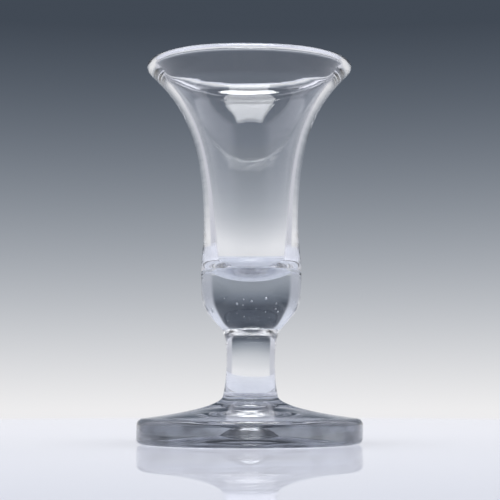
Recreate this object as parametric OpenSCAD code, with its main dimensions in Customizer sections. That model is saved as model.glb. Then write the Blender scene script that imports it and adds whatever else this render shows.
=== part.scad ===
// Firing glass: a short drinking glass with a flared bell bowl on a solid base,
// a plain thick stem and a heavy foot that is rapped on the table.
// Every gather of glass is a solid of its own, fused to the next one face to face.
// Millimetres, +Z up, origin at the middle of the plane that the glass stands on.

/* [Foot] */
// Diameter of the foot
foot_d = 60; // [54:0.5:68]
// Height of the foot's edge, where its top starts to slope
foot_edge_h = 6.8; // [6:0.1:9]
// Rounding of the edge's upper corner
foot_edge_round = 1.8; // [0.8:0.1:2.4]
// Rounding of the edge's lower corner
foot_base_round = 1.5; // [0.6:0.1:2.2]
// Slope of the foot's top beside the edge, in degrees
foot_slope = 7; // [3:0.5:10]
// Height of the foot where the stem stands on it
foot_h = 12.5; // [11.5:0.1:15]
// Diameter where the foot meets the stem
foot_neck_d = 14.7; // [14:0.1:17]
// Reach of the flat part of the sweep from the edge towards the neck
foot_sweep_reach = 15; // [10:0.5:17]
// Depth of the tight part of the sweep under the neck
foot_neck_drop = 1.7; // [0.8:0.1:2.5]
// Width of the hollow under the foot
kick_d = 46; // [36:0.5:50]
// Height that this hollow would reach at the middle
kick_h = 2.6; // [0.3:0.1:3.5]
// Diameter of the ground dimple where the rod was broken off
pontil_d = 10.5; // [8:0.5:16]
// Depth of that dimple
pontil_depth = 2.5; // [0.5:0.1:3]

/* [Stem] */
// Length of the stem between the foot and the bowl's base
stem_h = 17.6; // [14:0.1:24]
// Diameter of the stem at its slimmest
stem_d = 13; // [11:0.1:13.8]
// Height of the slimmest place above the foot
stem_slim_h = 9; // [7.5:0.1:10]
// Diameter where the stem meets the bowl's base
stem_top_d = 15.4; // [14:0.1:18]
// Lean of the stem's side at the foot, in degrees from level
stem_foot_lean = 77; // [65:1:88]
// Reach of that lean up the side
stem_foot_spread = 3; // [1:0.1:4]
// Straight run of the side below the slimmest place
stem_low_run = 3.6; // [1:0.1:5]
// Straight run of the side above the slimmest place
stem_high_run = 3.2; // [1:0.1:4]
// Lean of the stem's side at the bowl's base, in degrees from level
stem_top_lean = 63; // [50:1:80]
// Reach of that lean down the side
stem_top_spread = 2.4; // [1:0.1:3]

/* [Bowl base] */
// Diameter of the solid base, and of the bowl at the seam
base_d = 26.9; // [25.8:0.1:32]
// Height of the solid base
base_h = 15.8; // [13:0.1:20]
// Lean of its side where it leaves the stem, in degrees from level
base_lean = 49; // [25:1:60]
// Reach of that lean up the side
base_spread = 7.3; // [4:0.1:8.5]
// Reach of the round below its straight side
base_belly = 10.1; // [5:0.1:11]
// Rounding of its upper edge at the seam
base_top_round = 2.2; // [0.3:0.1:4]
// How far its side turns in towards the seam, in degrees
base_top_turn = 24; // [4:1:40]

/* [Bowl] */
// Height of the bowl from the seam to the lip
bowl_h = 56.35; // [48:0.05:64]
// Diameter of the bowl over its lip
rim_d = 55.1; // [48:0.1:62]
// Rounding of the bowl's lower edge at the seam
bowl_foot_round = 0.5; // [0.3:0.1:4]
// How far the bowl's side turns in towards the seam, in degrees
bowl_foot_turn = 20; // [4:1:40]
// Straight run of the side above the seam
bowl_foot_run = 3.4; // [1:0.1:4]
// Diameter of the bowl at its waist
waist_d = 25.36; // [23:0.02:25.8]
// Height of the waist above the seam
waist_h = 13.5; // [11:0.1:17]
// Straight run of the side below the waist
waist_run = 8.1; // [3:0.1:9]
// How far the side runs straight up from the waist before it flares
flare_rise = 29.2; // [22:0.1:34]
// Lean of the side at the lip, in degrees from upright
lip_lean = 40; // [15:1:50]
// Reach of the lip's lean down the side
lip_reach = 5.9; // [2:0.1:9]
// Thickness of the rolled lip
lip_t = 3.2; // [2.1:0.1:3.8]
// Share of the flare, from the waist up, where the wall starts to thicken to the lip
lip_start = 0.72; // [0.5:0.01:0.9]
// Wall thickness in the flare
wall_flare = 2.05; // [1.5:0.05:2.4]
// Wall thickness at the waist
wall_waist = 2.7; // [2:0.05:3.4]
// How fast the wall thins above the waist
wall_blend = 10; // [4:1:14]
// Lean of the well's side below the waist, in degrees from upright
well_lean = 4.2; // [1:0.1:7]
// Diameter of the well where its round end starts
well_d = 18.4; // [16:0.1:19.4]
// Height of that place above the seam
well_h = 3; // [2:0.1:5]
// Reach of the well's side into its round end
well_drop = 2.3; // [1.5:0.1:5]
// Reach of the flat at the bottom of the well
well_flat = 6; // [3:0.1:7]
// How far the bottom of the well lies below the seam
well_sink = 3; // [1:0.1:4]
// Glass under the bottom of the well
floor_t = 2.4; // [1.8:0.1:4]

/* [Hidden] */

// Facets of a full turn, and steps along a long curve and along a corner
$fn = 120;
curve_steps = 24;
arc_steps = 8;

// Glass as it looks in a stack of gathers, thick ones a little darker
clear_glass = [0.82, 0.86, 0.9, 0.45];
thick_glass = [0.7, 0.75, 0.81, 0.6];

// Heights of the three fused joints and of the lip
stem_z = foot_h;
base_z = stem_z + stem_h;
seam_z = base_z + base_h;
rim_z = seam_z + bowl_h;

// Radii of the fused faces, which both pieces share
neck_r = foot_neck_d / 2;
stem_top_r = stem_top_d / 2;
base_r = base_d / 2;
seam_r = base_r - max(dip(base_top_round, base_top_turn), dip(bowl_foot_round, bowl_foot_turn));

// Depth of the cup in the base that the bowl's round end fills
cup_depth = well_sink + floor_t;

// How far in and how far along a rounding goes when it turns by an angle
function dip(radius, turn) = radius * (1 - cos(turn));
function run(radius, turn) = radius * sin(turn);

// Point on the cubic curve from a to d with the handles b and c
function curve_point(a, b, c, d, t) =
    pow(1 - t, 3) * a + 3 * t * pow(1 - t, 2) * b + 3 * t * t * (1 - t) * c + pow(t, 3) * d;

// Unit vector along that curve
function curve_heading(a, b, c, d, t) =
    let (v = pow(1 - t, 2) * (b - a) + 2 * t * (1 - t) * (c - b) + t * t * (d - c)) v / norm(v);

// Points along that curve
function curve(a, b, c, d) =
    [for (i = [0 : curve_steps]) curve_point(a, b, c, d, i / curve_steps)];

// Points along an arc, with its angles in degrees
function arc(centre, radius, from, to) =
    [for (i = [0 : arc_steps]) centre + radius * heading(from + (to - from) * i / arc_steps)];

// Points along the round cap that rises by rise from the radius outer to the axis, cut off at inner
function cap(outer, inner, base, rise) =
    [for (i = [0 : arc_steps])
        let (r = outer + (inner - outer) * i / arc_steps) [r, base + rise * (1 - pow(r / outer, 2))]];

// Unit vector at an angle above level
function heading(angle) = [cos(angle), sin(angle)];

// Turns a vector a quarter to the left
function left_of(v) = [-v[1], v[0]];

module revolve(points) {
    rotate_extrude() polygon(points);
}

// Heavy foot: a swept top, a thick rounded edge, a resting ring and a hollow with the ground dimple
module foot() {
    edge_r = foot_d / 2;
    top_corner = [edge_r - foot_edge_round, foot_edge_h - foot_edge_round];
    base_corner = [edge_r - foot_base_round, foot_base_round];
    neck = [neck_r, foot_h];
    neck_handle = neck - foot_neck_drop * heading(180 - stem_foot_lean);
    edge_top = top_corner + foot_edge_round * heading(90 - foot_slope);
    edge_handle = edge_top + foot_sweep_reach * heading(180 - foot_slope);
    kick_r = kick_d / 2;
    pontil_r = pontil_d / 2;
    pontil_z = kick_h * (1 - pow(pontil_r / kick_r, 2));
    color(thick_glass) revolve(concat(
        [[0, foot_h]],
        curve(neck, neck_handle, edge_handle, edge_top),
        arc(top_corner, foot_edge_round, 90 - foot_slope, 0),
        arc(base_corner, foot_base_round, 0, -90),
        cap(kick_r, pontil_r, 0, kick_h),
        cap(pontil_r, 0, pontil_z, pontil_depth)
    ));
}

// Plain stem: slim in the middle, spread at the foot and under the bowl's base
module stem() {
    low = [neck_r, stem_z];
    slim = [stem_d / 2, stem_z + stem_slim_h];
    top = [stem_top_r, base_z];
    low_handle = low + stem_foot_spread * heading(180 - stem_foot_lean);
    top_handle = top - stem_top_spread * heading(stem_top_lean);
    color(clear_glass) revolve(concat(
        [[0, stem_z]],
        curve(low, low_handle, slim - [0, stem_low_run], slim),
        curve(slim, slim + [0, stem_high_run], top_handle, top),
        [[0, base_z]]
    ));
}

// Solid base: a gather that swells from the stem to the seam, with a cup for the bowl's round end
module bowl_base() {
    low = [stem_top_r, base_z];
    shoulder = [base_r, seam_z - run(base_top_round, base_top_turn)];
    low_handle = low + base_spread * heading(base_lean);
    color(thick_glass) revolve(concat(
        [[0, base_z]],
        curve(low, low_handle, shoulder - [0, base_belly], shoulder),
        arc(shoulder - [base_top_round, 0], base_top_round, 0, base_top_turn),
        cup()
    ));
}

// Bell bowl: a waisted side that flares to a rolled lip, with a wall that thickens down to a round end
module bowl() {
    foot_side = [base_r, seam_z + run(bowl_foot_round, bowl_foot_turn)];
    waist = [waist_d / 2, seam_z + waist_h];
    lip_r = lip_t / 2;
    bead = [rim_d / 2 - lip_r, rim_z - lip_r];
    lip_heading = heading(90 - lip_lean);
    lip_side = bead - lip_r * left_of(lip_heading);
    rise_handle = waist + [0, flare_rise];
    lip_handle = lip_side - lip_reach * lip_heading;
    well_waist = waist - [wall_waist, 0];
    well_side = [well_d / 2, seam_z + well_h];
    well_up = heading(90 - well_lean);
    well_pull = (waist_h - well_h) / 3 * well_up;
    well_floor = [0, seam_z - well_sink];
    color(clear_glass) revolve(concat(
        reversed(cup()),
        arc(foot_side - [bowl_foot_round, 0], bowl_foot_round, -bowl_foot_turn, 0),
        curve(foot_side, foot_side + [0, bowl_foot_run], waist - [0, waist_run], waist),
        curve(waist, rise_handle, lip_handle, lip_side),
        arc(bead, lip_r, -lip_lean, 180 - lip_lean),
        flare_inside(waist, rise_handle, lip_handle, lip_side),
        curve(well_waist, well_waist - well_pull, well_side + well_pull, well_side),
        curve(well_side, well_side - well_drop * well_up, well_floor + [well_flat, 0], well_floor)
    ));
}

// The face that the bowl's round end and the base's cup share, from the seam to the axis
function cup() = cap(seam_r, 0, seam_z, -cup_depth);

// The points in the opposite order
function reversed(points) = [for (i = [len(points) - 1 : -1 : 0]) points[i]];

// Inner side of the flare from the lip down to the waist, a wall's thickness from the outer side
function flare_inside(a, b, c, d) =
    [for (i = [curve_steps : -1 : 0])
        let (t = i / curve_steps)
        curve_point(a, b, c, d, t) + wall(t) * left_of(curve_heading(a, b, c, d, t))];

// Thickness of the flare's wall, from the waist at 0 to the lip at 1
function wall(t) =
    wall_flare
    + (lip_t - wall_flare) * ease(max(0, (t - lip_start) / (1 - lip_start)))
    + (wall_waist - wall_flare) * pow(1 - t, wall_blend);

// Runs smoothly from 0 to 1
function ease(share) = share * share * (3 - 2 * share);

foot();
stem();
bowl_base();
bowl();
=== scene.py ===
"""Dresses the firing glass: four fused gathers of clear glass on a pale studio table."""

import math
import random

import bmesh
import bpy
from bpy.props import FloatProperty, FloatVectorProperty, PointerProperty
from bpy.types import Operator, Panel, PropertyGroup
from mathutils import Matrix, Vector
from mathutils.geometry import interpolate_bezier


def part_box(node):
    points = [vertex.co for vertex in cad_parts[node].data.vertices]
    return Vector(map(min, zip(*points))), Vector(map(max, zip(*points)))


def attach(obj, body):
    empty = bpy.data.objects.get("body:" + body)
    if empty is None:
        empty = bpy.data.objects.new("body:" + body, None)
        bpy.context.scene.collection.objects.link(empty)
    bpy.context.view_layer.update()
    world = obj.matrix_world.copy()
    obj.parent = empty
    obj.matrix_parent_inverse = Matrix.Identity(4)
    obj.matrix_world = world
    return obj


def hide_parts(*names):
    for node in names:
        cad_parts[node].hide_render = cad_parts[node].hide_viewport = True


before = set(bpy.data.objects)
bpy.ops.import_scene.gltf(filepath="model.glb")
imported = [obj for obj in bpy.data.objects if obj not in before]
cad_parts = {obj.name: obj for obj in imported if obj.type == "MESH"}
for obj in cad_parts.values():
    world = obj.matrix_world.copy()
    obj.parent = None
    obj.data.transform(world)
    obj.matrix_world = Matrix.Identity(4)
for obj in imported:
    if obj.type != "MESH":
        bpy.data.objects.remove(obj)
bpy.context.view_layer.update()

bl_info = {
    "name": "Firing glass",
    "version": (1, 0, 0),
    "blender": (4, 5, 0),
    "location": "View3D > Sidebar > Firing glass",
    "description": "Builds a firing glass from its four gathers, with a studio table and light",
    "category": "Add Mesh",
}

BODY = "root"
MM = 0.001
TURN = 2 * math.pi

# Heights of the fused joints and of the lip, and radii, as the frame gives them
STEM_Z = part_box("foot")[1].z
BASE_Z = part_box("stem")[1].z
SEAM_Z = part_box("bowl_base")[1].z
RIM_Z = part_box("bowl")[1].z
FOOT_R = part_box("foot")[1].x
STEM_TOP_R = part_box("stem")[1].x
BASE_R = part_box("bowl_base")[1].x
RIM_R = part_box("bowl")[1].x


def length(name, description, millimetres):
    """A length in metres, given in millimetres."""
    return FloatProperty(name=name, description=description, default=millimetres * MM,
                         unit="LENGTH", precision=5)


def lens_length(name, description, millimetres):
    """A length of the camera, which stays in millimetres."""
    return FloatProperty(name=name, description=description, default=millimetres,
                         subtype="DISTANCE_CAMERA")


def angle(name, description, degrees):
    """An angle in radians, given in degrees."""
    return FloatProperty(name=name, description=description, default=math.radians(degrees),
                         subtype="ANGLE")


def share(name, description, value):
    """A share from 0 to 1."""
    return FloatProperty(name=name, description=description, default=value,
                         min=0, max=1, subtype="FACTOR")


def number(name, description, value):
    """A plain number."""
    return FloatProperty(name=name, description=description, default=value)


def tint(name, description, colour):
    """A linear colour."""
    return FloatVectorProperty(name=name, description=description, default=colour,
                               subtype="COLOR", size=4)


class FootSizes(PropertyGroup):
    """Sizes and colours of the heavy foot"""
    edge_height: length("Edge height", "Height of the edge, where the top starts to slope", 6.8)
    edge_round: length("Edge round", "Rounding of the edge's upper corner", 1.8)
    base_round: length("Base round", "Rounding of the edge's lower corner", 1.5)
    slope: angle("Slope", "Slope of the top beside the edge", 7)
    neck_radius: length("Neck radius", "Radius where the foot meets the stem", 7.35)
    sweep_reach: length("Sweep reach", "Reach of the flat part of the sweep", 15)
    neck_drop: length("Neck drop", "Depth of the tight part of the sweep", 1.7)
    kick_radius: length("Kick radius", "Radius of the hollow underneath", 23)
    kick_height: length("Kick height", "Height that this hollow would reach at the middle", 2.6)
    pontil_radius: length("Pontil radius", "Radius of the ground dimple underneath", 5.25)
    pontil_depth: length("Pontil depth", "Depth of the ground dimple", 2.5)
    ground_radius: length("Ground radius", "Inner radius of the matt ring in the dimple", 3.85)
    # The dark colour of the dimple's matt ring is painted shade around its highlight
    painted_shade_colour: tint("Painted shade colour", "Colour of the painted shade in that ring", (0.16, 0.175, 0.21, 1))
    colour: tint("Colour", "Colour that light takes on under the top", (0.9, 0.915, 0.95, 1))
    # The edge's grey patches are painted shade, which darkens what is seen through the edge
    edge_shade_dark: tint("Edge dark", "Colour of the edge's dark clouds", (0.155, 0.17, 0.197, 1))
    edge_shade_light: tint("Edge light", "Colour of the edge's light clouds", (0.39, 0.42, 0.475, 1))
    shade_top: length("Grey top", "Height where the grey of the edge begins to fade", 5.6)
    clear_top: length("Clear top", "Height where the edge is clear", 6.6)
    ring_height: length("Ring height", "Height of the faint rings from shaping", 0.01)
    wave_height: length("Wave height", "Height of the broad waves from shaping", 0.06)


class StemSizes(PropertyGroup):
    """Sizes and colour of the plain stem"""
    slim_radius: length("Slim radius", "Radius at the slimmest place", 6.5)
    slim_height: length("Slim height", "Height of the slimmest place above the foot", 9)
    foot_lean: angle("Foot lean", "Lean of the side at the foot, from level", 77)
    foot_spread: length("Foot spread", "Reach of that lean up the side", 3)
    low_run: length("Low run", "Straight run below the slimmest place", 3.6)
    high_run: length("High run", "Straight run above the slimmest place", 3.2)
    top_lean: angle("Top lean", "Lean of the side under the bowl's base, from level", 63)
    top_spread: length("Top spread", "Reach of that lean down the side", 2.4)
    colour: tint("Colour", "Colour that light takes on in the glass", (0.93, 0.945, 0.965, 1))
    ring_height: length("Ring height", "Height of the faint rings from shaping", 0.004)
    wave_height: length("Wave height", "Height of the broad waves from shaping", 0.03)


class BaseSizes(PropertyGroup):
    """Sizes and colours of the solid base under the bowl"""
    lean: angle("Lean", "Lean of the side where it leaves the stem, from level", 49)
    spread: length("Spread", "Reach of that lean up the side", 7.3)
    belly: length("Belly", "Reach of the round below the straight side", 10.1)
    top_round: length("Top round", "Rounding of the base's edge at the seam", 2.2)
    top_turn: angle("Top turn", "How far the base's side turns in towards the seam", 24)
    cup_depth: length("Cup depth", "Depth of the hollow that holds the end of the bowl", 5.4)
    colour: tint("Colour", "Colour that light takes on in the glass", (0.68, 0.715, 0.755, 1))
    seed_colour: tint("Seed colour", "Colour of the seeds' skin", (0.94, 0.95, 0.98, 1))
    ring_height: length("Ring height", "Height of the faint rings from shaping", 0.004)
    wave_height: length("Wave height", "Height of the broad waves from shaping", 0.03)


class BowlSizes(PropertyGroup):
    """Sizes and colour of the bell bowl"""
    foot_round: length("Foot round", "Rounding of the bowl's edge at the seam", 0.5)
    foot_turn: angle("Foot turn", "How far the bowl's side turns in towards the seam", 20)
    waist_radius: length("Waist radius", "Radius at the waist", 12.68)
    foot_run: length("Foot run", "Straight run of the side above the seam", 3.4)
    waist_height: length("Waist height", "Height of the waist above the seam", 13.5)
    waist_run: length("Waist run", "Straight run of the side below the waist", 8.1)
    flare_rise: length("Flare rise", "Straight rise above the waist", 29.2)
    lip_lean: angle("Lip lean", "Lean of the side at the lip, from upright", 40)
    lip_reach: length("Lip reach", "Reach of the lip's lean down the side", 5.9)
    lip_thickness: length("Lip thickness", "Thickness of the rolled lip", 3.2)
    lip_start: share("Lip start", "Share of the flare where the wall starts to thicken", 0.72)
    wall_flare: length("Flare wall", "Thickness of the wall in the flare", 2.05)
    wall_waist: length("Waist wall", "Thickness of the wall at the waist", 2.7)
    wall_blend: number("Wall blend", "How fast the wall thins above the waist", 10)
    well_lean: angle("Well lean", "Lean of the well's side, from upright", 4.2)
    well_radius: length("Well radius", "Radius of the well where its round end starts", 9.2)
    well_height: length("Well height", "Height of that place above the seam", 3.0)
    well_drop: length("Well drop", "Reach of the well's side into its round end", 2.3)
    well_flat: length("Well flat", "Reach of the flat at the bottom of the well", 6.0)
    well_sink: length("Well sink", "How far the well's bottom lies below the seam", 3.0)
    colour: tint("Colour", "Colour that light takes on in the glass", (0.958, 0.966, 0.978, 1))
    ring_height: length("Ring height", "Height of the faint rings from shaping", 0.02)
    wave_height: length("Wave height", "Height of the broad waves from shaping", 0.06)


class StageSettings(PropertyGroup):
    """Camera, table and lamps"""
    camera_distance: length("Camera distance", "From the lens to the axis of the glass", 420)
    eye_height: length("Eye height", "Height of the lens above the table", 17.5)
    camera_tilt: angle("Camera tilt", "How far the camera looks up", 4.63)
    focal_length: lens_length("Focal length", "Focal length of the lens", 113.4)
    table_radius: length("Table radius", "Radius of the flat of the table", 450)
    table_near: length("Table near", "Where the table starts to turn into the backdrop", 250)
    table_far: length("Table far", "Where it has turned into the backdrop", 300)
    sweep_radius: length("Sweep radius", "Radius of the bend up to the backdrop", 500)
    wall_height: length("Wall height", "Height of the upright wall above the bend", 1150)
    table_colour: tint("Table colour", "Colour of the table", (0.86, 0.875, 0.95, 1))
    table_glow: number("Table glow", "Light that shines up through the table", 0.35)
    table_gloss: share("Table gloss", "Share of the table's surface that mirrors", 0.7)
    gloss_roughness: share("Gloss roughness", "Roughness of that gloss", 0.02)
    side_start: angle("Side start", "Turn from the back where the lit sides begin", 34)
    side_full: angle("Side full", "Turn from the back where the sides are fully lit", 42)
    side_fade: angle("Side fade", "Turn from the back where the lit sides begin to fade", 115)
    side_end: angle("Side end", "Turn from the back where the lit sides end", 150)
    side_low: length("Side low", "Height where the sides begin to brighten", 80)
    side_high: length("Side high", "Height where the sides are brightest", 900)
    side_dim: number("Side dim", "Radiance low down at the sides", 0.6)
    side_light: number("Side light", "Radiance of the brightest part of the sides", 1.0)
    side_colour: tint("Side colour", "Colour of the light from the sides", (0.96, 0.97, 1.06, 1))
    top_power: number("Top light", "Radiance of the panel overhead", 5.5)
    top_height: length("Top height", "Height of this panel", 750)
    top_ahead: length("Top ahead", "How far this panel stands in front of the glass", 80)
    top_width: length("Top width", "Width of this panel", 400)
    top_depth: length("Top depth", "Depth of this panel", 360)
    fill_power: number("Fill light", "Radiance of the wide panel that lights the table only", 0.35)
    fill_height: length("Fill height", "Height of the wide panel", 1000)
    fill_width: length("Fill width", "Width and depth of the wide panel", 1200)


# The Mix node has sockets for each kind of value, and these are the ones for colours
MIX_SHARE = 0
MIX_FIRST = 6
MIX_SECOND = 7
MIX_RESULT = 2

# Factors that lay a place flat, so that its length is its distance from the axis
FLAT = (1, 1, 0)


class Shade:
    """A value in a node tree. Python maths on it adds the Math nodes."""

    def __init__(self, tree, socket=None):
        self.tree = tree
        self.socket = socket

    def add(self, kind, settings=None, inputs=None, output=0):
        """Adds a node, sets its settings and then its sockets, and gives back one of its outputs."""
        node = self.tree.nodes.new(kind)
        for name, value in (settings or {}).items():
            setattr(node, name, value)
        for name, value in (inputs or {}).items():
            if isinstance(value, Shade):
                self.tree.links.new(value.socket, node.inputs[name])
            else:
                node.inputs[name].default_value = value
        return Shade(self.tree, node.outputs[output] if len(node.outputs) else None)

    def maths(self, operation, first, second):
        """Any operation of a Math node on two values."""
        return self.add("ShaderNodeMath", {"operation": operation}, {0: first, 1: second})

    def ramp(self, value, start, end):
        """Runs smoothly from 0 at start to 1 at end."""
        inputs = {"Value": value, "From Min": start, "From Max": end}
        return self.add("ShaderNodeMapRange", {"interpolation_type": "SMOOTHSTEP"}, inputs)

    def mixed(self, amount, first, second):
        """Runs from one colour to another as the amount goes from 0 to 1."""
        inputs = {MIX_SHARE: amount, MIX_FIRST: first, MIX_SECOND: second}
        return self.add("ShaderNodeMix", {"data_type": "RGBA"}, inputs, MIX_RESULT)

    def layered(self, amount, first, second):
        """Runs from one shader to another as the amount goes from 0 to 1."""
        return self.add("ShaderNodeMixShader", inputs={0: amount, 1: first, 2: second})

    def coordinate(self, place, axis):
        """A place's coordinate along one axis."""
        return self.add("ShaderNodeSeparateXYZ", inputs={"Vector": place}, output=axis)

    def distance(self, place):
        """How far a place lies from the upright axis."""
        flat = self.add("ShaderNodeVectorMath", {"operation": "MULTIPLY"}, {0: place, 1: FLAT})
        return self.add("ShaderNodeVectorMath", {"operation": "LENGTH"}, {0: flat}, "Value")

    def __add__(self, other):
        return self.maths("ADD", self, other)

    __radd__ = __add__

    def __sub__(self, other):
        return self.maths("SUBTRACT", self, other)

    def __rsub__(self, other):
        return self.maths("SUBTRACT", other, self)

    def __mul__(self, other):
        return self.maths("MULTIPLY", self, other)

    __rmul__ = __mul__


def new_tree(owner):
    """An emptied node tree of a material or a world."""
    owner.use_nodes = True
    owner.node_tree.nodes.clear()
    return Shade(owner.node_tree)


# Noise cycles per metre: rings lie level and close together, waves and clouds are broad, wear is fine
RING_SCALE = (18, 18, 420)
WAVE_SCALE = (60, 60, 60)
CLOUD_SCALE = (150, 150, 260)
WEAR_SCALE = (900, 900, 900)

# Detail of each noise: broad ones stay soft
RING_DETAIL = 3.0
BROAD_DETAIL = 1.0
WEAR_DETAIL = 4.0

# Noise values between which dark clouds turn into light ones
CLOUD_START = 0.34
CLOUD_END = 0.66

# Width of the soft border of a zone
ZONE_BORDER = 0.4 * MM

# Least share of the dark matt layer on ground glass, which paints shade there, what patches add to it,
# and its roughness
GROUND_AND_SHADE_LEAST = 0.45
GROUND_AND_SHADE_PATCHES = 0.4
GROUND_ROUGHNESS = 0.9

# How strongly glass bends light
GLASS_IOR = 1.5


class Glass:
    """Clear glass with faint rings and waves from being worked while it was soft."""

    def __init__(self, name, size):
        self.material = bpy.data.materials.new(name)
        self.tree = new_tree(self.material)
        self.place = self.tree.add("ShaderNodeTexCoord", output="Object")
        self.height = self.tree.coordinate(self.place, "Z")
        self.radius = self.tree.distance(self.place)
        self.colour = size.colour
        self.roughness = 0.0
        self.ground_and_shade_share = None
        self.painted_shade_colour = None
        rings = self.noise(RING_SCALE, RING_DETAIL) * size.ring_height
        self.bump = rings + self.noise(WAVE_SCALE, BROAD_DETAIL) * size.wave_height

    def noise(self, scale, detail):
        """Noise with its own cycles per metre along each axis."""
        stretched = self.tree.add("ShaderNodeMapping", inputs={"Vector": self.place, "Scale": scale})
        inputs = {"Vector": stretched, "Scale": 1.0, "Detail": detail}
        return self.tree.add("ShaderNodeTexNoise", inputs=inputs)

    def clouded(self, dark, light):
        """Two colours that lie in soft patches."""
        clouds = self.tree.ramp(self.noise(CLOUD_SCALE, BROAD_DETAIL), CLOUD_START, CLOUD_END)
        return self.tree.mixed(clouds, dark, light)

    def tinted(self, amount, colour):
        """Another colour, as far as its amount goes from 0 to 1."""
        self.colour = self.tree.mixed(amount, self.colour, colour)

    def zone(self, near, far, ceiling):
        """1 below the height ceiling between two radii, and 0 elsewhere."""
        within = self.tree.ramp(self.radius, near - ZONE_BORDER, near)
        beyond = self.tree.ramp(self.radius, far, far + ZONE_BORDER)
        above = self.tree.ramp(self.height, ceiling, ceiling + ZONE_BORDER)
        return within * (1 - beyond) * (1 - above)

    def worn(self, zone, roughness, patchy):
        """Rough glass in a zone, patchy from 0 for even to 1."""
        spots = 1 - patchy * self.noise(WEAR_SCALE, WEAR_DETAIL)
        self.roughness = self.roughness + roughness * spots * zone

    def ground(self, zone, painted_shade_colour):
        """A matt face in a zone, where the glass was ground, whose dark colour paints shade there."""
        self.ground_and_shade_share = zone * (GROUND_AND_SHADE_LEAST + GROUND_AND_SHADE_PATCHES * self.noise(WEAR_SCALE, WEAR_DETAIL))
        self.painted_shade_colour = painted_shade_colour

    def finished(self):
        """Joins the parts of the shader up and gives back the material."""
        normal = self.tree.add("ShaderNodeBump", inputs={
            "Strength": 1.0,
            "Distance": 1.0,
            "Height": self.bump,
        })
        surface = self.tree.add("ShaderNodeBsdfPrincipled", inputs={
            "Base Color": self.colour,
            "Roughness": self.roughness,
            "IOR": GLASS_IOR,
            "Transmission Weight": 1.0,
            "Normal": normal,
        })
        # A dark matt layer over the ground glass, which paints shade there
        if self.ground_and_shade_share is not None:
            matt = self.tree.add("ShaderNodeBsdfPrincipled", inputs={
                "Base Color": self.painted_shade_colour,
                "Roughness": GROUND_ROUGHNESS,
            })
            surface = self.tree.layered(self.ground_and_shade_share, surface, matt)
        self.tree.add("ShaderNodeOutputMaterial", inputs={"Surface": surface})
        return self.material


def fused_seam():
    """Where two gathers have run together, light goes straight on."""
    material = bpy.data.materials.get("fused_seam")
    if material is None:
        material = bpy.data.materials.new("fused_seam")
        tree = new_tree(material)
        surface = tree.add("ShaderNodeBsdfPrincipled", inputs={"Alpha": 0.0})
        tree.add("ShaderNodeOutputMaterial", inputs={"Surface": surface})
    return material


def point(radius, height):
    """A point of an outline."""
    return Vector((radius, height))


def heading(level_angle):
    """Unit vector at an angle above level."""
    return Vector((math.cos(level_angle), math.sin(level_angle)))


def left_of(vector):
    """The vector turned a quarter to the left."""
    return Vector((-vector.y, vector.x))


# Points along each curve, and along each arc or hollow
CURVE_POINTS = 49
ARC_POINTS = 13


def curve(start, start_handle, end_handle, end):
    """Points along a cubic curve."""
    return list(interpolate_bezier(start, start_handle, end_handle, end, CURVE_POINTS))


def arc(centre, radius, start, end):
    """Points along an arc, with its angles in radians."""
    step = (end - start) / (ARC_POINTS - 1)
    return [centre + radius * heading(start + step * i) for i in range(ARC_POINTS)]


def cap(outer, inner, base, rise):
    """Points along a shallow hollow that rises from the radius outer to the axis, cut off at inner."""
    radii = [outer + (inner - outer) * i / (ARC_POINTS - 1) for i in range(ARC_POINTS)]
    return [point(r, base + rise * (1 - (r / outer) ** 2)) for r in radii]


# Steps of a full turn, how close doubled vertices lie, and how close one lies to its outline's point
SPIN_STEPS = 192
MERGE = 1e-7
NEAR = 1e-6

# Places of the finishes in a piece's list
GLASS_FINISH = 0
SEAM_FINISH = 1
SEED_FINISH = 2


def lies_on(vertex, points):
    """Whether a vertex comes from one of an outline's points."""
    spot = point(vertex.co.xy.length, vertex.co.z)
    return any((p - spot).length < NEAR for p in points)


def turned(outline, fused):
    """Spins an outline about the axis and closes it. fused holds the points of its fused faces."""
    work = bmesh.new()
    corners = [work.verts.new((p.x, 0, p.y)) for p in outline]
    rails = [work.edges.new(pair) for pair in zip(corners, corners[1:])]
    bmesh.ops.spin(work, geom=corners + rails, cent=(0, 0, 0), axis=(0, 0, 1),
                   angle=TURN, steps=SPIN_STEPS, use_merge=True)
    bmesh.ops.remove_doubles(work, verts=work.verts, dist=MERGE)
    bmesh.ops.recalc_face_normals(work, faces=work.faces)
    joined = {vertex for vertex in work.verts if lies_on(vertex, fused)}
    for face in work.faces:
        face.smooth = True
        face.material_index = SEAM_FINISH if joined.issuperset(face.verts) else GLASS_FINISH
    for edge in work.edges:
        finishes = {face.material_index for face in edge.link_faces}
        edge.smooth = len(finishes) == 1
    return work


# Hand-made sway of the whole glass: its size, how far both ends lie the other way, and its bend
SWAY = 0.55 * MM
SWAY_START = 0.22 * MM
SWAY_BEND = 0.8

# Uneven lip: its size, how fast it fades below the lip, and its waves as count, turn and share
LIP_DIP = 0.12 * MM
LIP_FADE = 8
LIP_WAVES = [(2, 0.6, 1.0), (5, 0.0, 0.5)]


def hand_made(spot):
    """Where a spot of the true shape lies on a glass that was shaped by hand."""
    level = spot.z / RIM_Z
    turn = math.atan2(spot.y, spot.x)
    shift = SWAY * math.sin(math.pi * level ** SWAY_BEND) - SWAY_START
    wave = sum(part * math.sin(count * turn + start) for count, start, part in LIP_WAVES)
    return spot + Vector((shift, 0.0, LIP_DIP * level ** LIP_FADE * wave))


def add_object(work, name, *finishes):
    """Makes a finished mesh an object of the scene."""
    mesh = bpy.data.meshes.new(name)
    work.to_mesh(mesh)
    work.free()
    for finish in finishes:
        mesh.materials.append(finish)
    made = bpy.data.objects.new(name, mesh)
    bpy.context.scene.collection.objects.link(made)
    return made


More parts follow.
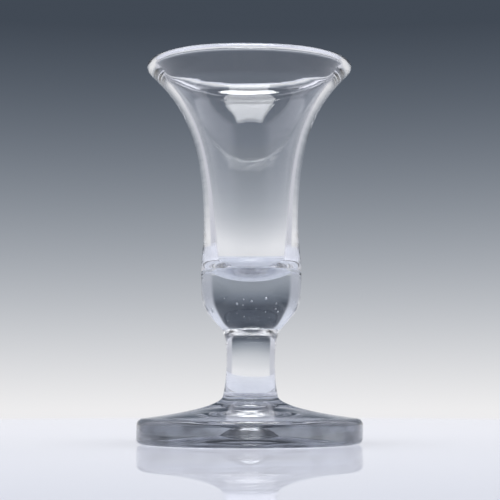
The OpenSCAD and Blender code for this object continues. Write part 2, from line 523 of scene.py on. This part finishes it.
def finish_piece(work, node, slot, *finishes):
    """Makes the mesh an object that stands for its CAD node."""
    for vertex in work.verts:
        vertex.co = hand_made(vertex.co)
    piece = add_object(work, node + "_glass", *finishes)
    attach(piece, BODY)
    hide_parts(node)
    return piece


# Wear as roughness and how patchy it is: where the foot rests and in its ground dimple
RESTING_WEAR = (0.35, 0.9)
GROUND_WEAR = (0.3, 0.3)

# Height up to which the foot is worn from resting
RESTING_HEIGHT = 0.1 * MM


class FIRING_OT_foot(Operator):
    """Adds the heavy foot"""
    bl_idname = "firing.foot"
    bl_label = "Add foot"

    @staticmethod
    def finish(size):
        """Clear glass with painted shade in grey patches on its edge, a worn resting ring, and a ground
        dimple with a dark matt ring of painted shade.
        """
        glass = Glass("foot_glass", size)
        # Painted shade: grey patches on the edge, fading out towards the top
        shade_start = FOOT_R - size.edge_round
        shade_full = FOOT_R - size.edge_round / 2
        outward = glass.tree.ramp(glass.radius, shade_start, shade_full)
        upward = glass.tree.ramp(glass.height, size.shade_top, size.clear_top)
        glass.tinted(outward * (1 - upward), glass.clouded(size.edge_shade_dark, size.edge_shade_light))
        resting = glass.zone(size.kick_radius, FOOT_R - size.base_round, RESTING_HEIGHT)
        glass.worn(resting, *RESTING_WEAR)
        # Rough ground glass in the dimple, under a dark matt ring of painted shade around its highlight
        ground = glass.zone(size.ground_radius, size.pontil_radius, size.edge_height)
        glass.worn(ground, *GROUND_WEAR)
        glass.ground(ground, size.painted_shade_colour)
        return glass.finished()

    def execute(self, context):
        size = context.scene.firing_foot
        stem = context.scene.firing_stem
        top_corner = point(FOOT_R - size.edge_round, size.edge_height - size.edge_round)
        base_corner = point(FOOT_R - size.base_round, size.base_round)
        neck = point(size.neck_radius, STEM_Z)
        neck_handle = neck - size.neck_drop * heading(math.pi - stem.foot_lean)
        edge_top = top_corner + size.edge_round * heading(math.pi / 2 - size.slope)
        edge_handle = edge_top + size.sweep_reach * heading(math.pi - size.slope)
        pontil_z = size.kick_height * (1 - (size.pontil_radius / size.kick_radius) ** 2)
        joint = [point(0, STEM_Z), neck]
        outline = joint[:1] + curve(neck, neck_handle, edge_handle, edge_top)
        outline += arc(top_corner, size.edge_round, math.pi / 2 - size.slope, 0)
        outline += arc(base_corner, size.base_round, 0, -math.pi / 2)
        outline += cap(size.kick_radius, size.pontil_radius, 0, size.kick_height)
        outline += cap(size.pontil_radius, 0, pontil_z, size.pontil_depth)
        work = turned(outline, joint)
        piece = finish_piece(work, "foot", "foot_glass", self.finish(size), fused_seam())
        # Clear glass that lies flat on the table lets the lamps' light through to it
        piece.visible_shadow = False
        return {"FINISHED"}


# Dull skin where the stem was pressed to the base: its wear, and its reach to each side of the joint
JOINT_WEAR = (0.22, 0.3)
JOINT_REACH = 1.4 * MM


class FIRING_OT_stem(Operator):
    """Adds the plain stem"""
    bl_idname = "firing.stem"
    bl_label = "Add stem"

    def execute(self, context):
        size = context.scene.firing_stem
        foot = context.scene.firing_foot
        low = point(foot.neck_radius, STEM_Z)
        low_handle = low + size.foot_spread * heading(math.pi - size.foot_lean)
        slim = point(size.slim_radius, STEM_Z + size.slim_height)
        top = point(STEM_TOP_R, BASE_Z)
        top_handle = top - size.top_spread * heading(size.top_lean)
        outline = [point(0, STEM_Z)]
        outline += curve(low, low_handle, slim - point(0, size.low_run), slim)
        outline += curve(slim, slim + point(0, size.high_run), top_handle, top)
        outline += [point(0, BASE_Z)]
        work = turned(outline, [outline[0], low, top, outline[-1]])
        glass = Glass("stem_glass", size)
        glass.worn(1 - glass.zone(0, STEM_TOP_R, BASE_Z - JOINT_REACH), *JOINT_WEAR)
        finish_piece(work, "stem", "stem_glass", glass.finished(), fused_seam())
        return {"FINISHED"}


# Seeds in the base, each with its place and radius in millimetres
SEEDS = [
    (-3.3, -8.0, 37.2, 0.30),
    (0.1, -8.0, 37.8, 0.24),
    (5.9, -7.0, 37.3, 0.20),
    (5.8, -7.0, 36.1, 0.22),
    (6.4, -6.6, 35.4, 0.26),
    (-1.6, -6.0, 34.6, 0.16),
    (2.4, 3.0, 39.5, 0.18),
    (-6.2, 4.0, 38.4, 0.20),
]

# Fine seeds scattered through the base: their count, reach, heights and radii, and the draw's start
FINE_SEEDS = 16
FINE_REACH = 8.5 * MM
FINE_HEIGHTS = (32.5 * MM, 39.5 * MM)
FINE_RADII = (0.06 * MM, 0.12 * MM)
FINE_START = 11

# How round the seeds are, and the roughness of their skin
SEED_ROUNDS = 2
SEED_ROUGHNESS = 0.3


def seed_skin(colour):
    """The skin of a bubble in the glass, which throws light back like silver."""
    material = bpy.data.materials.new("seed_skin")
    tree = new_tree(material)
    surface = tree.add("ShaderNodeBsdfPrincipled", inputs={
        "Base Color": colour,
        "Metallic": 1.0,
        "Roughness": SEED_ROUGHNESS,
    })
    tree.add("ShaderNodeOutputMaterial", inputs={"Surface": surface})
    return material


def add_seed(work, centre, radius):
    """Adds a round bubble."""
    shell = bmesh.ops.create_icosphere(work, subdivisions=SEED_ROUNDS, radius=radius,
                                       matrix=Matrix.Translation(centre))
    for face in {face for vertex in shell["verts"] for face in vertex.link_faces}:
        face.smooth = True
        face.material_index = SEED_FINISH


def scatter_seeds(work):
    """Adds the fine seeds, always in the same places."""
    draw = random.Random(FINE_START)
    for _ in range(FINE_SEEDS):
        reach = FINE_REACH * math.sqrt(draw.random())
        turn = TURN * draw.random()
        height = draw.uniform(*FINE_HEIGHTS)
        centre = Vector((reach * math.cos(turn), reach * math.sin(turn), height))
        add_seed(work, centre, draw.uniform(*FINE_RADII))


def turn_in(rounding, turn):
    """How far a rounded edge comes in where it has turned that far."""
    return rounding * (1 - math.cos(turn))


def seam_cup(scene):
    """Points of the faces that the base and the bowl share, from the seam to the axis."""
    base = scene.firing_base
    bowl = scene.firing_bowl
    base_in = turn_in(base.top_round, base.top_turn)
    bowl_in = turn_in(bowl.foot_round, bowl.foot_turn)
    return cap(BASE_R - max(base_in, bowl_in), 0, SEAM_Z, -base.cup_depth)


class FIRING_OT_bowl_base(Operator):
    """Adds the solid base under the bowl"""
    bl_idname = "firing.bowl_base"
    bl_label = "Add bowl base"

    def execute(self, context):
        size = context.scene.firing_base
        low = point(STEM_TOP_R, BASE_Z)
        low_handle = low + size.spread * heading(size.lean)
        shoulder = point(BASE_R, SEAM_Z - size.top_round * math.sin(size.top_turn))
        cup = seam_cup(context.scene)
        outline = [point(0, BASE_Z)]
        outline += curve(low, low_handle, shoulder - point(0, size.belly), shoulder)
        outline += arc(shoulder - point(size.top_round, 0), size.top_round, 0, size.top_turn)
        outline += cup
        work = turned(outline, [outline[0], low, *cup])
        for x, y, z, radius in SEEDS:
            add_seed(work, Vector((x, y, z)) * MM, radius * MM)
        scatter_seeds(work)
        glass = Glass("base_glass", size)
        glass.worn(glass.zone(0, BASE_R, BASE_Z + JOINT_REACH), *JOINT_WEAR)
        skin = seed_skin(size.seed_colour)
        finish_piece(work, "bowl_base", "base_glass", glass.finished(), fused_seam(), skin)
        return {"FINISHED"}


# Wear in the bottom of the well, as roughness and how patchy it is
WELL_WEAR = (0.3, 0.5)


def smooth(amount):
    """Eases an amount from 0 to 1 at both ends."""
    return amount * amount * (3 - 2 * amount)


class FIRING_OT_bowl(Operator):
    """Adds the bell bowl"""
    bl_idname = "firing.bowl"
    bl_label = "Add bowl"

    @staticmethod
    def inside(size, start, start_handle, end_handle, end):
        """Inner side of the flare from the lip to the waist, a wall's thickness from the outer side."""
        outer = curve(start, start_handle, end_handle, end)
        points = []
        for i in reversed(range(CURVE_POINTS)):
            along = i / (CURVE_POINTS - 1)
            lip_share = smooth(max(0, (along - size.lip_start) / (1 - size.lip_start)))
            waist_share = (1 - along) ** size.wall_blend
            wall = size.wall_flare + lip_share * (size.lip_thickness - size.wall_flare)
            wall += waist_share * (size.wall_waist - size.wall_flare)
            slope = (1 - along) ** 2 * (start_handle - start) + along ** 2 * (end - end_handle)
            slope += 2 * along * (1 - along) * (end_handle - start_handle)
            points.append(outer[i] + wall * left_of(slope.normalized()))
        return points

    def execute(self, context):
        size = context.scene.firing_bowl
        lip_r = size.lip_thickness / 2
        bead = point(RIM_R - lip_r, RIM_Z - lip_r)
        lip_heading = heading(math.pi / 2 - size.lip_lean)
        foot_side = point(BASE_R, SEAM_Z + size.foot_round * math.sin(size.foot_turn))
        foot_handle = foot_side + point(0, size.foot_run)
        waist = point(size.waist_radius, SEAM_Z + size.waist_height)
        lip_side = bead - lip_r * left_of(lip_heading)
        rise_handle = waist + point(0, size.flare_rise)
        lip_handle = lip_side - size.lip_reach * lip_heading
        well_waist = waist - point(size.wall_waist, 0)
        well_side = point(size.well_radius, SEAM_Z + size.well_height)
        well_up = heading(math.pi / 2 - size.well_lean)
        well_floor = point(0, SEAM_Z - size.well_sink)
        floor_handle = well_floor + point(size.well_flat, 0)
        # Handles a third of the way along keep the well's side even
        well_pull = (well_waist.y - well_side.y) / 3 * well_up
        cup = seam_cup(context.scene)[::-1]
        outline = cup + arc(foot_side - point(size.foot_round, 0), size.foot_round, -size.foot_turn, 0)
        outline += curve(foot_side, foot_handle, waist - point(0, size.waist_run), waist)
        outline += curve(waist, rise_handle, lip_handle, lip_side)
        outline += arc(bead, lip_r, -size.lip_lean, math.pi - size.lip_lean)
        outline += self.inside(size, waist, rise_handle, lip_handle, lip_side)
        outline += curve(well_waist, well_waist - well_pull, well_side + well_pull, well_side)
        outline += curve(well_side, well_side - size.well_drop * well_up, floor_handle, well_floor)
        work = turned(outline, cup)
        glass = Glass("bowl_glass", size)
        glass.worn(glass.zone(0, size.well_radius, SEAM_Z), *WELL_WEAR)
        finish_piece(work, "bowl", "bowl_glass", glass.finished(), fused_seam())
        return {"FINISHED"}


# Radiance of the backdrop at the table and high up, and how it falls with height
BACKDROP_FOOT = (0.85, 0.845, 0.855)
BACKDROP_HEAD = (0.054, 0.068, 0.09)
BACKDROP_FALL = (0.131, 0.1429, 0.16)
BACKDROP_BEND = 0.42

# Narrow ring that keeps the shading of the flat table from running into the bend
FLAT_END = 1 * MM

# Gap that keeps the table off the foot
TABLE_GAP = 0.1 * MM

# Width of the camera's sensor in millimetres, and the nearest thing that it sees
SENSOR_WIDTH = 36
CLIP_START = 10 * MM

# How often light may pass from face to face, and be mirrored
LIGHT_BOUNCES = 32
MIRROR_BOUNCES = 16


def dark_room():
    """What lies above the backdrop."""
    world = bpy.data.worlds.new("dark_room")
    bpy.context.scene.world = world
    tree = new_tree(world)
    light = tree.add("ShaderNodeBackground", inputs={"Color": (*BACKDROP_HEAD, 1), "Strength": 1.0})
    tree.add("ShaderNodeOutputWorld", inputs={"Surface": light})


def glowing(tree, red, green, blue):
    """A face that shines by itself, with a value for each channel."""
    colour = tree.add("ShaderNodeCombineColor", inputs={"Red": red, "Green": green, "Blue": blue})
    return tree.add("ShaderNodeEmission", inputs={"Color": colour, "Strength": 1.0})


def back_glow(tree, height):
    """Light of the backdrop, in which each channel darkens with height at its own pace."""
    rise = height * (height * BACKDROP_BEND + 1)
    channels = []
    for foot, head, fall in zip(BACKDROP_FOOT, BACKDROP_HEAD, BACKDROP_FALL):
        fading = foot * tree.maths("POWER", math.e, rise * (-1 / fall))
        channels.append(tree.maths("MAXIMUM", head, fading))
    return glowing(tree, *channels)


def side_glow(tree, stage, height):
    """Light of both sides, which brighten with height."""
    rise = tree.ramp(height, stage.side_low, stage.side_high)
    level = stage.side_dim + rise * (stage.side_light - stage.side_dim)
    red, green, blue, _ = stage.side_colour
    return glowing(tree, level * red, level * green, level * blue)


def table_skin(tree, stage):
    """A matt table, lit a little from below, with a gloss over it."""
    matt = tree.add("ShaderNodeBsdfPrincipled", inputs={
        "Base Color": stage.table_colour,
        "Specular IOR Level": 0.0,
        "Emission Color": stage.table_colour,
        "Emission Strength": stage.table_glow,
    })
    gloss = tree.add("ShaderNodeBsdfPrincipled", inputs={
        "Base Color": stage.table_colour,
        "Roughness": stage.gloss_roughness,
    })
    return tree.layered(stage.table_gloss, matt, gloss)


def sweep_finish(stage):
    """A pale table that runs up into a backdrop, which darkens with height and is lit at both sides."""
    material = bpy.data.materials.new("pale_sweep")
    tree = new_tree(material)
    place = tree.add("ShaderNodeTexCoord", output="Object")
    across, along, height = (tree.coordinate(place, axis) for axis in "XYZ")
    turn = tree.maths("ARCTAN2", tree.maths("ABSOLUTE", across, 0.0), along)
    past_back = tree.ramp(turn, stage.side_start, stage.side_full)
    past_sides = tree.ramp(turn, stage.side_fade, stage.side_end)
    beside = past_back * (1 - past_sides)
    glow = tree.layered(beside, back_glow(tree, height), side_glow(tree, stage, height))
    away = tree.ramp(tree.distance(place), stage.table_near, stage.table_far)
    surface = tree.layered(away, table_skin(tree, stage), glow)
    tree.add("ShaderNodeOutputMaterial", inputs={"Surface": surface})
    return material


def add_sweep(stage):
    """Adds the table and the backdrop in one sweep."""
    bend = point(stage.table_radius, stage.sweep_radius)
    profile = [point(0, 0), point(stage.table_radius - FLAT_END, 0)]
    profile += arc(bend, stage.sweep_radius, -math.pi / 2, 0)
    profile.append(profile[-1] + point(0, stage.wall_height))
    work = turned(profile, [])
    bmesh.ops.reverse_faces(work, faces=work.faces)
    sweep = add_object(work, "sweep", sweep_finish(stage))
    sweep.location.z = -TABLE_GAP


def panel_lamp(name, place, width, depth, radiance):
    """A soft panel that shines straight down, as bright as its radiance."""
    lamp = bpy.data.lights.new(name, "AREA")
    lamp.shape = "RECTANGLE"
    lamp.size = width
    lamp.size_y = depth
    lamp.energy = radiance * math.pi * width * depth
    rig = bpy.data.objects.new(name, lamp)
    rig.location = place
    rig.visible_camera = False
    bpy.context.scene.collection.objects.link(rig)
    return rig


def add_lamps(stage):
    """Adds a panel overhead, and a wide one that the glass doesn't show."""
    top_place = (0, -stage.top_ahead, stage.top_height)
    panel_lamp("top_panel", top_place, stage.top_width, stage.top_depth, stage.top_power)
    fill_place = (0, 0, stage.fill_height)
    fill = panel_lamp("fill_panel", fill_place, stage.fill_width, stage.fill_width, stage.fill_power)
    fill.visible_glossy = False
    fill.visible_transmission = False


def add_camera(stage):
    """Adds the camera, just above the table and tilted up a little."""
    lens = bpy.data.cameras.new("camera")
    lens.sensor_width = SENSOR_WIDTH
    lens.lens = stage.focal_length
    lens.clip_start = CLIP_START
    camera = bpy.data.objects.new("camera", lens)
    camera.location = (0, -stage.camera_distance, stage.eye_height)
    camera.rotation_euler = (math.pi / 2 + stage.camera_tilt, 0, 0)
    bpy.context.scene.collection.objects.link(camera)
    bpy.context.scene.camera = camera


class FIRING_OT_stage(Operator):
    """Adds the table, the backdrop, the lamps and the camera"""
    bl_idname = "firing.stage"
    bl_label = "Add stage"

    def execute(self, context):
        scene = context.scene
        stage = scene.firing_stage
        scene.view_settings.view_transform = "Standard"
        scene.cycles.max_bounces = LIGHT_BOUNCES
        scene.cycles.transmission_bounces = LIGHT_BOUNCES
        scene.cycles.glossy_bounces = MIRROR_BOUNCES
        dark_room()
        add_sweep(stage)
        add_lamps(stage)
        add_camera(stage)
        return {"FINISHED"}


class FIRING_PT_sidebar(Panel):
    """Lists the sizes and the steps"""
    bl_label = "Firing glass"
    bl_idname = "FIRING_PT_sidebar"
    bl_space_type = "VIEW_3D"
    bl_region_type = "UI"
    bl_category = "Firing glass"

    def draw(self, context):
        for group, step in STEPS:
            box = self.layout.box()
            settings = getattr(context.scene, group)
            for name in settings.__annotations__:
                box.prop(settings, name)
            box.operator(step.bl_idname)


GROUPS = {
    "firing_foot": FootSizes,
    "firing_stem": StemSizes,
    "firing_base": BaseSizes,
    "firing_bowl": BowlSizes,
    "firing_stage": StageSettings,
}
STEPS = [
    ("firing_stage", FIRING_OT_stage),
    ("firing_foot", FIRING_OT_foot),
    ("firing_stem", FIRING_OT_stem),
    ("firing_base", FIRING_OT_bowl_base),
    ("firing_bowl", FIRING_OT_bowl),
]
CLASSES = [*GROUPS.values(), *(step for _, step in STEPS), FIRING_PT_sidebar]


def register():
    for cls in CLASSES:
        bpy.utils.register_class(cls)
    for name, group in GROUPS.items():
        setattr(bpy.types.Scene, name, PointerProperty(type=group))


def unregister():
    for name in GROUPS:
        delattr(bpy.types.Scene, name)
    for cls in reversed(CLASSES):
        bpy.utils.unregister_class(cls)


def main():
    register()
    bpy.ops.firing.stage()
    bpy.ops.firing.foot()
    bpy.ops.firing.stem()
    bpy.ops.firing.bowl_base()
    bpy.ops.firing.bowl()


if __name__ == "__main__":
    main()
